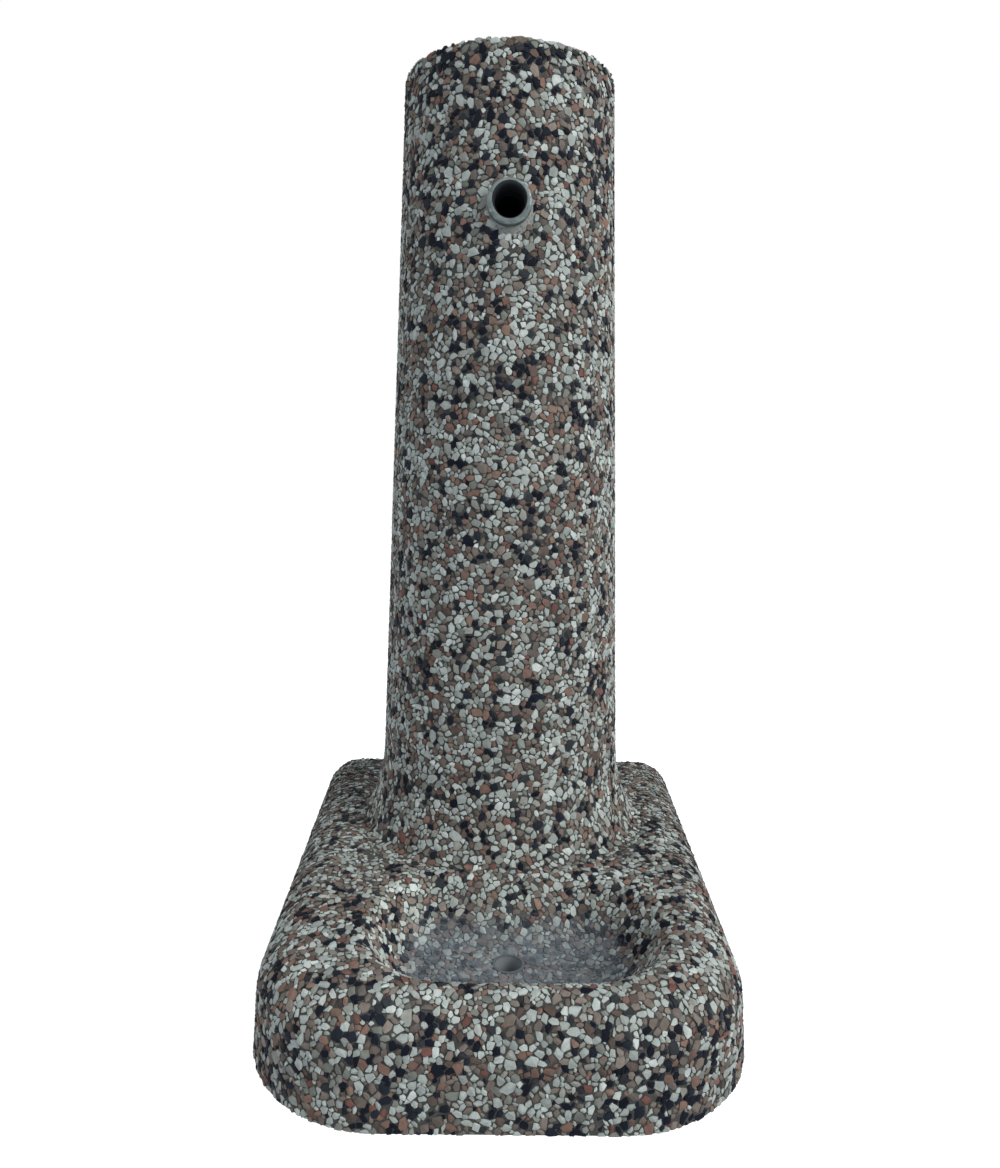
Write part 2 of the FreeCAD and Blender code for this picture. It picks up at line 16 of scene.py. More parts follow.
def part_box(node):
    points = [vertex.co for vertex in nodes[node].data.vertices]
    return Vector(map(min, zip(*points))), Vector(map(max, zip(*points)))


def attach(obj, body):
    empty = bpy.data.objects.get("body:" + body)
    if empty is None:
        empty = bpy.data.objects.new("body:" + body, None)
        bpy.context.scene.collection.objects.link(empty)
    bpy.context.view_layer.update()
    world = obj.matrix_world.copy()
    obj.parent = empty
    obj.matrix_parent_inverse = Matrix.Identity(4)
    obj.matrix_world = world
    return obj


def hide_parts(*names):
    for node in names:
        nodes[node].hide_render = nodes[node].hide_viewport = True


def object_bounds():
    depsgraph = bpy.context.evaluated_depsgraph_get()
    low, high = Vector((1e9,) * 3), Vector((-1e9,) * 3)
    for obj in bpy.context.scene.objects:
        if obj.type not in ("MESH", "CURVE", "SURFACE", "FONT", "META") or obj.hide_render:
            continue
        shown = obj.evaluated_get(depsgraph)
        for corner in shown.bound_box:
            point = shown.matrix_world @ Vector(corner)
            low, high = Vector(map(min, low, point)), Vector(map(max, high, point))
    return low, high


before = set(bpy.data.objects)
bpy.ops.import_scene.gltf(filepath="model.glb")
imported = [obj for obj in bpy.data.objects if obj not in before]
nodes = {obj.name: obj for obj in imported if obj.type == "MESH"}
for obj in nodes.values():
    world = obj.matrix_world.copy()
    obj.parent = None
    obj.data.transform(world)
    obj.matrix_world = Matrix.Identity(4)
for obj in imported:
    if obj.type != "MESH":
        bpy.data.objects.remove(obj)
cad_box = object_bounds()

MM = 0.001
RNG = np.random.default_rng(7)

# Places read from the frame
COLUMN_LOW, COLUMN_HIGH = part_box("column")
SOCKET_LOW, SOCKET_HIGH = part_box("outlet_socket")
DRAIN_LOW, DRAIN_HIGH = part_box("drain_tube")
MORTAR_LOW, MORTAR_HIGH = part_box("outlet_mortar")
TOP = COLUMN_HIGH.z
BASE_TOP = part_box("bedding_mortar")[0].z
AXIS_Y = (COLUMN_LOW.y + COLUMN_HIGH.y) / 2
FOOT_RADIUS = (COLUMN_HIGH.x - COLUMN_LOW.x) / 2
OUTLET_Z = (SOCKET_LOW.z + SOCKET_HIGH.z) / 2
OUTLET_FRONT = SOCKET_LOW.y
OUTLET_BACK = SOCKET_HIGH.y
SOCKET_RADIUS = (SOCKET_HIGH.x - SOCKET_LOW.x) / 2
OUTLET_HOLE_RADIUS = (MORTAR_HIGH.x - MORTAR_LOW.x) / 2 + 0.3 * MM
DRAIN_X = (DRAIN_LOW.x + DRAIN_HIGH.x) / 2
DRAIN_Y = (DRAIN_LOW.y + DRAIN_HIGH.y) / 2
DRAIN_RADIUS = (DRAIN_HIGH.x - DRAIN_LOW.x) / 2
FLOOR_Z = DRAIN_HIGH.z

# Sizes of the castings that no box gives
COLUMN_TOP_RADIUS = 92.5 * MM
COLUMN_TAPER = 20.5 / 600
CORE_LIMIT = FOOT_RADIUS * 0.66
BASIN_X = 11 * MM
BASIN_Y = DRAIN_Y - 16 * MM
BORE_RADIUS = 13.8 * MM

# Stones: the width of each size, the share of the faces that it may fill, and candidates per width squared
STONE_SIZES = [(8.4 * MM, 0.08, 3), (6.6 * MM, 0.24, 4), (5.0 * MM, 0.60, 6), (3.8 * MM, 1.0, 7),
               (2.9 * MM, 1.0, 6)]
COLUMN_FINENESS = 0.93
BASE_FINENESS = 0.81
STONES_EACH = 5200
NEIGHBOURS = 14
CORNERS = 7
TRIES = 3
HALF_JOINT = 0.12 * MM
LEAST_REACH = 0.5 * MM
STONE_DEPTH = 2.6 * MM
BED_DEPTH = 1.3 * MM
COVE_REACH = 7 * MM
COVE_RISE = 6 * MM
COVE_COLUMNS = 120
DARK_TOP_START = 0.58


def linear(red, green, blue):
    """A display colour of 0 to 255 as the linear values that sockets take."""
    parts = np.array([red, green, blue]) / 255
    low = parts / 12.92
    high = ((parts + 0.055) / 1.055) ** 2.4
    return tuple(np.where(parts <= 0.04045, low, high)) + (1.0,)


def add_object(name, data):
    """An object of a mesh, lamp or camera, in the scene."""
    made = bpy.data.objects.new(name, data)
    bpy.context.scene.collection.objects.link(made)
    return made


def mesh_of(name, points, quads=None, triangles=None, smooth=False):
    """A mesh object from whole arrays: points (n, 3), quads (q, 4) and triangles (t, 3)."""
    quads = np.zeros((0, 4), int) if quads is None else quads
    triangles = np.zeros((0, 3), int) if triangles is None else triangles
    mesh = bpy.data.meshes.new(name)
    corners = np.concatenate([quads.ravel(), triangles.ravel()]).astype(np.int32)
    sizes = np.concatenate([np.full(len(quads), 4), np.full(len(triangles), 3)])
    starts = np.concatenate([[0], np.cumsum(sizes)[:-1]]).astype(np.int32)
    mesh.vertices.add(len(points))
    mesh.vertices.foreach_set("co", np.ascontiguousarray(points, np.float32).ravel())
    mesh.loops.add(len(corners))
    mesh.loops.foreach_set("vertex_index", corners)
    mesh.polygons.add(len(sizes))
    mesh.polygons.foreach_set("loop_start", starts)
    mesh.polygons.foreach_set("use_smooth", np.full(len(sizes), smooth))
    mesh.update(calc_edges=True)
    mesh.validate()
    return add_object(name, mesh)


def grid_quads(rows, columns, wrap):
    """Corner numbers of the quads of a grid of rows by columns, closed round its columns if wrap."""
    row = np.arange(rows - 1)[:, None]
    column = np.arange(columns if wrap else columns - 1)[None, :]
    after = (column + 1) % columns
    quads = np.stack([row * columns + column, row * columns + after,
                      (row + 1) * columns + after, (row + 1) * columns + column], axis=-1)
    return quads.reshape(-1, 4)


def attribute(piece, name, values):
    """Store one number for each point of the piece's mesh."""
    layer = piece.data.attributes.new(name, "FLOAT", "POINT")
    layer.data.foreach_set("value", np.ascontiguousarray(values, np.float32))


def finish_piece(piece, material, replaced=()):
    """Give a piece its material and its slot, and let it ride on the one body."""
    piece.data.materials.clear()
    piece.data.materials.append(material)
    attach(piece, "root")
    if replaced:
        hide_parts(*replaced)
    return piece


# Outer faces of the two castings

def outer_shell(node):
    """A merged copy of a node's mesh without its sealed inner hollows: what joins its widest point."""
    work = bmesh.new()
    work.from_mesh(nodes[node].data)
    bmesh.ops.remove_doubles(work, verts=work.verts, dist=1e-6)
    first = max(work.verts, key=lambda vertex: vertex.co.x)
    reached = {first}
    edge = [first]
    while edge:
        edge = [other for vertex in edge for link in vertex.link_edges
                for other in [link.other_vert(vertex)] if other not in reached]
        reached.update(edge)
    bmesh.ops.delete(work, geom=[vertex for vertex in work.verts if vertex not in reached],
                     context="VERTS")
    mesh = bpy.data.meshes.new(node + "_shell")
    work.to_mesh(mesh)
    work.free()
    mesh.polygons.foreach_set("use_smooth", np.full(len(mesh.polygons), True))
    mesh.set_sharp_from_angle(angle=math.radians(35))
    return mesh


def vertex_array(mesh, field):
    """The place ("co") or the "normal" of every vertex, as (n, 3)."""
    values = np.zeros(len(mesh.vertices) * 3)
    mesh.vertices.foreach_get(field, values)
    return values.reshape(-1, 3)


def corner_arrays(mesh):
    """The mesh's triangles as corner points (t, 3, 3) and corner normals (t, 3, 3)."""
    mesh.calc_loop_triangles()
    points = vertex_array(mesh, "co")
    vertices = np.zeros(len(mesh.loop_triangles) * 3, int)
    mesh.loop_triangles.foreach_get("vertices", vertices)
    loops = np.zeros(len(mesh.loop_triangles) * 3, int)
    mesh.loop_triangles.foreach_get("loops", loops)
    normals = np.zeros(len(mesh.loops) * 3)
    mesh.corner_normals.foreach_get("vector", normals)
    return points[vertices].reshape(-1, 3, 3), normals.reshape(-1, 3)[loops].reshape(-1, 3, 3)


def grid_corners(points, normals, wrap):
    """A grid of points and its normals as triangles: two for each quad, in two runs."""
    quads = grid_quads(points.shape[0], points.shape[1], wrap)
    halves = np.concatenate([quads[:, [0, 1, 2]], quads[:, [0, 2, 3]]])
    return points.reshape(-1, 3)[halves], normals.reshape(-1, 3)[halves]


def from_axis(points):
    """Distance of points from the column's own axis."""
    return np.hypot(points[..., 0], points[..., 1] - AXIS_Y)


def from_outlet(points):
    """Distance of points from the outlet's axis, with those behind the column's axis put far away."""
    near = np.hypot(points[..., 0], points[..., 2] - OUTLET_Z)
    return np.where(points[..., 1] < AXIS_Y, near, 1.0)


def from_drain(points):
    """Distance of points from the drain's axis."""
    return np.hypot(points[..., 0] - DRAIN_X, points[..., 1] - DRAIN_Y)


def column_faces(mesh):
    """The column's side and top, without its underside, its core and the walls of its holes."""
    points, normals = corner_arrays(mesh)
    middle = points.mean(axis=1)
    up = normals.mean(axis=1)[:, 2]
    outside = (from_axis(middle) > CORE_LIMIT) | (middle[:, 2] > TOP - 0.5 * MM)
    wanted = outside & (up > -0.7) & (from_outlet(points).min(axis=1) > OUTLET_HOLE_RADIUS - 3 * MM)
    return points[wanted], normals[wanted]


def base_faces(mesh):
    """The base's top, sides and basin, without its underside."""
    points, normals = corner_arrays(mesh)
    wanted = normals.mean(axis=1)[:, 2] > -0.7
    return points[wanted], normals[wanted]


def cove_profile(steps):
    """The hollow cove from the column's foot out to the base: a quarter ellipse, as radius and height."""
    turn = np.linspace(0, math.pi / 2, steps)
    radius = FOOT_RADIUS + COVE_REACH - (COVE_REACH + 1.5 * MM) * np.cos(turn)
    height = BASE_TOP + COVE_RISE * (1 - np.sin(turn))
    return radius, height


def revolved(radius, height, columns):
    """A grid of points: each profile point turned once round the column's axis, kept off the back."""
    turn = np.linspace(0, 2 * math.pi, columns, endpoint=False)
    x = radius[:, None] * np.cos(turn)
    y = np.minimum(AXIS_Y + radius[:, None] * np.sin(turn), cad_box[1][1] - 0.3 * MM)
    z = np.repeat(height[:, None], columns, axis=1)
    return np.stack([x, y, z], axis=-1)


def cove_faces():
    """The cove's surface as triangles, with normals square to the profile."""
    radius, height = cove_profile(5)
    points = revolved(radius, height, COVE_COLUMNS)
    run = np.gradient(radius)
    fall = np.gradient(height)
    length = np.hypot(run, fall)
    turn = np.linspace(0, 2 * math.pi, COVE_COLUMNS, endpoint=False)
    across = -fall / length
    normals = np.stack([across[:, None] * np.cos(turn), across[:, None] * np.sin(turn),
                        np.repeat((run / length)[:, None], COVE_COLUMNS, axis=1)], axis=-1)
    return grid_corners(points, normals, True)


def outlet_faces():
    """The ring of the column's face that the outlet's mortar fills, from the socket to the hole's edge."""
    turn = np.linspace(0, 2 * math.pi, 49)[None]
    radius = np.array([[SOCKET_RADIUS], [OUTLET_HOLE_RADIUS + 0.5 * MM]])
    x = radius * np.cos(turn)
    z = OUTLET_Z + radius * np.sin(turn)
    reach = column_radius(z)
    y = AXIS_Y - np.sqrt(reach ** 2 - x ** 2)
    points = np.stack([x, y, z], axis=-1)
    normals = np.stack([x / reach, (y - AXIS_Y) / reach, np.full_like(x, COLUMN_TAPER)], axis=-1)
    return grid_corners(points, normals, False)


# Stones

def scatter(points, normals, count):
    """Random places on triangles, evenly by area: two random shares fold into each triangle."""
    edges = points[:, 1:] - points[:, :1]
    area = np.linalg.norm(np.cross(edges[:, 0], edges[:, 1]), axis=1) / 2
    chosen = RNG.choice(len(area), count, p=area / area.sum())
    share = RNG.random((count, 2))
    folded = np.where(share.sum(axis=1, keepdims=True) > 1, 1 - share, share)
    weights = np.concatenate([1 - folded.sum(axis=1, keepdims=True), folded], axis=1)
    place = np.einsum("nk,nkd->nd", weights, points[chosen])
    normal = np.einsum("nk,nkd->nd", weights, normals[chosen])
    return place, normal / np.linalg.norm(normal, axis=1, keepdims=True)


def tree_of(points):
    """A search tree over points."""
    tree = kdtree.KDTree(len(points))
    for index, point in enumerate(points):
        tree.insert(point, index)
    tree.balance()
    return tree


def fill_with_stones(points, normals, bare, fineness):
    """Stone seeds of falling size: each is kept if no kept stone lies nearer than half of both widths.

    All widths are multiplied by the fineness.
    """
    edges = points[:, 1:] - points[:, :1]
    area = np.linalg.norm(np.cross(edges[:, 0], edges[:, 1]), axis=1).sum() / 2
    kept_places = np.zeros((0, 3))
    kept_normals = np.zeros((0, 3))
    kept_widths = np.zeros(0)
    for full_width, share, crowd in STONE_SIZES:
        width = full_width * fineness
        places, ups = scatter(points, normals, int(crowd * area / width ** 2))
        free = ~bare(places)
        tree = tree_of(places)
        for place, other in zip(kept_places, kept_widths):
            for found, index, distance in tree.find_range(place, (width + other) / 2):
                free[index] = False
        limit = int(share * area / width ** 2)
        chosen = []
        for index in range(len(places)):
            if not free[index]:
                continue
            if len(chosen) >= limit:
                break
            chosen.append(index)
            for found, other, distance in tree.find_range(places[index], width):
                free[other] = False
        kept_places = np.concatenate([kept_places, places[chosen]])
        kept_normals = np.concatenate([kept_normals, ups[chosen]])
        kept_widths = np.concatenate([kept_widths, np.full(len(chosen), width)])
    return kept_places, kept_normals, kept_widths


def neighbours_of(places):
    """For each seed, the numbers of its nearest other seeds, as an array."""
    tree = tree_of(places)
    return np.array([[index for found, index, distance in tree.find_n(place, NEIGHBOURS + 1)][1:]
                     for place in places])


def reach_along(cosine, widths, stretch):
    """An ellipse's radius in a direction at a given cosine to its long axis, with its area kept."""
    along = cosine ** 2
    return widths / np.sqrt(along / stretch + (1 - along) * stretch)


def stone_outlines(places, normals, widths, near):
    """Each stone's outline in its own tangent plane, with how far the surface bends away there.

    Every stone has a long axis of its own. Towards a neighbour it reaches its share of the
    distance, by the reach of both ellipses, less half a joint, and a little more or less by
    chance, so that some stones lie over others. In any direction the outline lies at the least
    of those limits over the cosine to each neighbour, and never far outside the stone's own
    ellipse. Of three directions tried in each sector the one that reaches furthest is kept, so
    that the outline has the cell's true corners.
    """
    side = np.cross(normals, np.where(np.abs(normals[:, 2:]) < 0.9, [[0, 0, 1.0]], [[1.0, 0, 0]]))
    side /= np.linalg.norm(side, axis=1, keepdims=True)
    other = np.cross(normals, side)
    away = places[near] - places[:, None]
    x = np.einsum("nkd,nd->nk", away, side)
    y = np.einsum("nkd,nd->nk", away, other)
    lift = np.einsum("nkd,nd->nk", away, normals)
    distance = np.hypot(x, y) + 1e-9
    bearing = np.arctan2(y, x)
    count = len(places)
    lie = RNG.uniform(0, math.pi, (count, 1))
    long_axis = np.cos(lie) * side + np.sin(lie) * other
    stretch = RNG.uniform(1.0, 2.4, count)
    towards = away / np.linalg.norm(away, axis=2, keepdims=True)
    own = reach_along(np.einsum("nkd,nd->nk", towards, long_axis), widths[:, None], stretch[:, None])
    others = reach_along(np.einsum("nkd,nkd->nk", towards, long_axis[near]), widths[near], stretch[near])
    looseness = RNG.uniform(0.98, 1.32, (count, 1))
    reach = distance * own / (own + others) * looseness - HALF_JOINT
    sector = 2 * math.pi / CORNERS
    tries = (np.arange(CORNERS * TRIES) / TRIES + RNG.random((count, 1))
             + 0.2 * RNG.random((count, CORNERS * TRIES))) * sector
    cosine = np.cos(tries[:, :, None] - bearing[:, None, :])
    limit = np.where(cosine > 0.12, reach[:, None, :] / np.maximum(cosine, 0.12), 1.0)
    nearest = limit.argmin(axis=2)
    radius = np.take_along_axis(limit, nearest[:, :, None], axis=2)[:, :, 0]
    own_ellipse = reach_along(np.cos(tries - lie), widths[:, None], stretch[:, None])
    broken = RNG.uniform(0.56, 0.95, (count, CORNERS)).repeat(TRIES, axis=1)
    radius = np.clip(np.minimum(radius, broken * own_ellipse), LEAST_REACH, widths[:, None])
    best = radius.reshape(count, CORNERS, TRIES).argmax(axis=2) + np.arange(CORNERS) * TRIES
    radius = np.take_along_axis(radius, best, axis=1) * RNG.uniform(0.82, 1.08, (count, CORNERS))
    turn = np.take_along_axis(tries, best, axis=1)
    toward = np.take_along_axis(nearest, best, axis=1)
    step = np.take_along_axis(distance, toward, axis=1)
    bend = np.take_along_axis(lift, toward, axis=1) * np.minimum(radius / step, 0.7) ** 2
    return side, other, radius, turn, bend


def stone_points(places, normals, widths, near):
    """Three rings and a crown for each stone, (n, 3 * CORNERS + 1, 3).

    The lowest ring is sunk in the bed, the middle one is the shoulder and the third the edge of
    the top, which is tilted a little and falls away unevenly from a crown that lies off the
    stone's middle. No point stands above the fountain's own face.
    """
    side, other, radius, turn, bend = stone_outlines(places, normals, widths, near)
    count = len(places)
    flat_x = radius * np.cos(turn)
    flat_y = radius * np.sin(turn)
    tilt = RNG.normal(0, 0.13, (count, 2))
    sunk = -np.abs(RNG.normal(0, 0.35 * MM, (count, 1)))
    inset = 1 - RNG.uniform(0.05, 0.24, (count, 1)) * RNG.uniform(0.4, 1.2, (count, CORNERS))
    slope = tilt[:, :1] * flat_x + tilt[:, 1:] * flat_y
    fall = RNG.uniform(0.05 * MM, 0.6 * MM, slope.shape)
    top_z = np.minimum(sunk + slope * inset - fall, 0)
    drop = RNG.uniform(0.3 * MM, 0.75 * MM, slope.shape)
    shoulder_z = np.minimum(sunk + slope - fall, 0) - drop
    aside = RNG.normal(0, 0.2, (count, 2)) * radius.mean(axis=1, keepdims=True)
    crown_z = np.minimum(sunk[:, 0] + (tilt * aside).sum(axis=1) + RNG.uniform(0, 0.25 * MM, count), 0)

    def ring(share, height):
        """The outline's points at a share of their reach and at a height over the face."""
        return (places[:, None] + (flat_x * share)[:, :, None] * side[:, None]
                + (flat_y * share)[:, :, None] * other[:, None]
                + (height + bend * share ** 2)[:, :, None] * normals[:, None])

    low = ring(np.full_like(inset, 0.96), np.full_like(flat_x, -STONE_DEPTH))
    crown = (places + aside[:, :1] * side + aside[:, 1:] * other + crown_z[:, None] * normals)[:, None]
    return np.concatenate([low, ring(np.ones_like(inset), shoulder_z), ring(inset, top_z), crown], axis=1)


def stone_kinds(places, near):
    """A number from 0 to 1 for each stone's mineral, alike in small clusters and wide patches.

    It is the rank of a random number that is mixed with the numbers of the nearest stones
    and with a few slow waves in random directions. Dark stones are commoner near the column's
    top and low on the base.
    """
    own = RNG.random(len(near))
    waves = RNG.normal(0, 90, (3, 4))
    patches = np.sin(places @ waves + RNG.uniform(0, 2 * math.pi, 4)).mean(axis=1)
    mixed = 0.70 * own + 0.30 * own[near[:, :2]].mean(axis=1) + 0.08 * patches
    height = places[:, 2]
    mixed -= 0.06 * np.clip((height - DARK_TOP_START) / (80 * MM), 0, 1)
    mixed -= 0.06 * np.clip((BASE_TOP - 6 * MM - height) / (12 * MM), 0, 1)
    kinds = np.empty(len(near))
    kinds[mixed.argsort()] = np.linspace(0, 1, len(near))
    return kinds


def stone_piece(name, points, kinds, tones):
    """One mesh of many stones, with each stone's mineral, tone and depth stored on its points."""
    count, each = points.shape[:2]
    start = np.arange(count)[:, None, None] * each
    corner = np.arange(CORNERS)
    after = (corner + 1) % CORNERS
    wall = np.stack([corner, after, after + CORNERS, corner + CORNERS], axis=-1)
    bevel = wall + CORNERS
    fan = np.stack([corner + 2 * CORNERS, after + 2 * CORNERS, np.full(CORNERS, 3 * CORNERS)], axis=-1)
    quads = (start + np.concatenate([wall, bevel])[None]).reshape(-1, 4)
    triangles = (start + fan[None]).reshape(-1, 3)
    placed = np.clip(points.reshape(-1, 3), np.array(cad_box[0]), np.array(cad_box[1]))
    piece = mesh_of(name, placed, quads, triangles)
    attribute(piece, "stone_kind", np.repeat(kinds, each))
    attribute(piece, "stone_tone", np.repeat(tones, each) * RNG.normal(1, 0.07, count * each))
    depth = np.concatenate([np.ones(CORNERS), np.full(CORNERS, 0.5), np.zeros(CORNERS + 1)])
    attribute(piece, "stone_depth", np.tile(depth, count))
    return piece


# Cement bed

def bed_piece(name, mesh, outward):
    """The cement between the stones: a shell whose outer faces lie below the stones' tops.

    Each vertex moves against its outward direction by the bed's depth, and one whose
    direction is zero stays put.
    """
    moved = vertex_array(mesh, "co") - outward * BED_DEPTH
    mesh.vertices.foreach_set("co", moved.astype(np.float32).ravel())
    mesh.update()
    mesh.name = name
    return add_object(name, mesh)


def column_outward(mesh):
    """Straight out from the axis on the side, up as well on the top face, and zero inside."""
    points = vertex_array(mesh, "co")
    radius = from_axis(points)
    across = points - np.array([0, AXIS_Y, 0])
    across[:, 2] = 0
    across /= np.maximum(radius, 1e-9)[:, None]
    on_side = radius > CORE_LIMIT
    on_top = points[:, 2] > TOP - 1.8 * MM
    return across * on_side[:, None] + np.array([0, 0, 1.0]) * on_top[:, None]


def base_outward(mesh):
    """The mean normal at each point, level at the ground, and zero under the column and in holes."""
    points = vertex_array(mesh, "co")
    directions = vertex_array(mesh, "normal")
    directions[points[:, 2] < 0.5 * MM, 2] = 0
    under_column = (from_axis(points) < FOOT_RADIUS) & (points[:, 2] > 1 * MM)
    in_drain = (from_drain(points) < DRAIN_RADIUS + 1 * MM) & (points[:, 2] < FLOOR_Z - 1 * MM)
    on_ground_holes = (points[:, 2] < 0.5 * MM) & ((from_axis(points) < FOOT_RADIUS) |
                                                   (from_drain(points) < DRAIN_RADIUS + 1 * MM))
    return directions * ~(under_column | in_drain | on_ground_holes)[:, None]


def collar_edge(turn):
    """How far the outlet's cement reaches: close to the socket, and further below and to the right."""
    below = np.clip(np.cos(turn + math.radians(82)), 0, 1) ** 6
    aside = np.clip(np.cos(turn + math.radians(36)), 0, 1) ** 10
    return SOCKET_RADIUS + 0.7 * MM + 5.0 * MM * below + 2.6 * MM * aside + 0.3 * MM * np.sin(5 * turn)


def outlet_turn(points):
    """The bearing of points round the outlet, from the right and upwards."""
    return np.arctan2(points[..., 2] - OUTLET_Z, points[..., 0])


def bare_places(points):
    """True where no stone may lie: round the outlet, in the drain, and under the column's foot."""
    outlet = from_outlet(points) < collar_edge(outlet_turn(points)) + 1.2 * MM
    drain = from_drain(points) < DRAIN_RADIUS + 1.4 * MM
    low = points[:, 2] < FLOOR_Z + 5 * MM
    reach = from_axis(points)
    on_base = points[:, 2] < BASE_TOP + 0.05 * MM
    top_edge = (reach < FOOT_RADIUS + COVE_REACH - 0.5 * MM) & (points[:, 2] > BASE_TOP - 4 * MM)
    under = on_base & (top_edge | (reach < FOOT_RADIUS - 5 * MM))
    on_foot = (points[:, 2] > BASE_TOP + 0.05 * MM) & (points[:, 2] < BASE_TOP + COVE_RISE - 0.3 * MM)
    behind_cove = on_foot & (reach < FOOT_RADIUS - 1.6 * MM) & (reach > FOOT_RADIUS * 0.9)
    return outlet | (drain & low) | under | behind_cove


def collar_piece(material):
    """The outlet's cement: from a lip against the socket it falls to the bed, following the column."""
    rings, columns = 14, 96
    turn = np.linspace(0, 2 * math.pi, columns, endpoint=False)
    share = np.linspace(0, 1, rings)[:, None]
    inner = SOCKET_RADIUS - 0.4 * MM
    outer = OUTLET_HOLE_RADIUS + 4 * MM
    edge = collar_edge(turn)[None]
    radius = inner + (outer - inner) * share
    fall = np.clip((radius - SOCKET_RADIUS) / (edge - SOCKET_RADIUS), 0, 1.6)
    height = 0.9 * MM - (BED_DEPTH + 0.7 * MM) * fall ** 0.8
    height = np.maximum(height, -BED_DEPTH - 0.35 * MM)
    height += 0.12 * MM * np.sin(9 * turn + 40 * share) * (fall < 1)
    x = radius * np.cos(turn)
    z = OUTLET_Z + radius * np.sin(turn)
    axis_reach = column_radius(z) + height
    y = AXIS_Y - np.sqrt(axis_reach ** 2 - x ** 2)
    points = np.stack([x, y, z], axis=-1).reshape(-1, 3)
    piece = mesh_of("outlet_cement_collar", points, grid_quads(rings, columns, True)[:, ::-1], smooth=True)
    return finish_piece(piece, material, ["outlet_mortar"])


def column_radius(z):
    """The column's radius at a height above its neck: a straight taper."""
    return COLUMN_TOP_RADIUS + (TOP - z) * COLUMN_TAPER


# Metal and plastic

def socket_piece(material):
    """The outlet's socket: rounded mouth, countersink and a helical thread inside.

    The bore's radius falls from root to crest and back once each pitch, and the phase
    turns once round the axis, so the thread is a true helix.
    """
    columns = 96
    length = OUTLET_BACK - OUTLET_FRONT
    pitch = 1.814 * MM
    root, crest = 13.2 * MM, 12.15 * MM
    lead = 1.4 * MM
    thread_rows = 90
    bend = np.linspace(0, math.pi / 2, 6)
    mouth = np.stack([SOCKET_RADIUS - 2.6 * MM * (1 - np.cos(bend)), 1.8 * MM * (1 - np.sin(bend))], axis=-1)
    outer = np.array([[root, length], [SOCKET_RADIUS, length], [SOCKET_RADIUS, 4 * MM]])
    sink = np.array([[14.0 * MM, 0], [13.5 * MM, 0.15 * MM], [12.9 * MM, 1.0 * MM]])
    shell = np.concatenate([outer, mouth, sink])
    turn = np.linspace(0, 2 * math.pi, columns, endpoint=False)[None]
    along = np.concatenate([shell[:, 1], np.linspace(lead, length - 1 * MM, thread_rows)])[:, None]
    phase = (along / pitch - turn / (2 * math.pi)) % 1
    wave = np.abs(2 * phase - 1)
    thread = crest + (root - crest) * np.clip(1.5 * wave - 0.25, 0, 1)
    plain = np.concatenate([shell[:, 0], np.zeros(thread_rows)])[:, None]
    radius = np.where(plain > 0, plain, thread)
    points = np.stack([radius * np.cos(turn), OUTLET_FRONT + along + 0 * turn,
                       OUTLET_Z + radius * np.sin(turn)], axis=-1)
    rows = len(along)
    quads = grid_quads(rows, columns, True)
    # The last row of the bore meets the first row at the back, which closes the tube's wall
    closing = grid_quads(2, columns, True)
    closing = np.where(closing >= columns, closing - columns, closing + (rows - 1) * columns)
    faces = np.concatenate([quads, closing])
    piece = mesh_of("outlet_socket_threaded", points.reshape(-1, 3), faces, smooth=True)
    outwards(piece)
    piece.data.set_sharp_from_angle(angle=math.radians(40))
    return finish_piece(piece, material, ["outlet_socket"])


def outwards(piece):
    """Turn a closed piece's faces outwards."""
    work = bmesh.new()
    work.from_mesh(piece.data)
    bmesh.ops.recalc_face_normals(work, faces=work.faces)
    work.to_mesh(piece.data)
    work.free()


# Materials

def new_group(name, inputs, outputs):
    """An empty shader node group with named inputs (name, kind, value) and outputs (name, kind)."""
    group = bpy.data.node_groups.new(name, "ShaderNodeTree")
    for label, kind, value in inputs:
        socket = group.interface.new_socket(name=label, in_out="INPUT", socket_type="NodeSocket" + kind)
        if value is not None:
            socket.default_value = value
    for label, kind in outputs:
        group.interface.new_socket(name=label, in_out="OUTPUT", socket_type="NodeSocket" + kind)
    return group


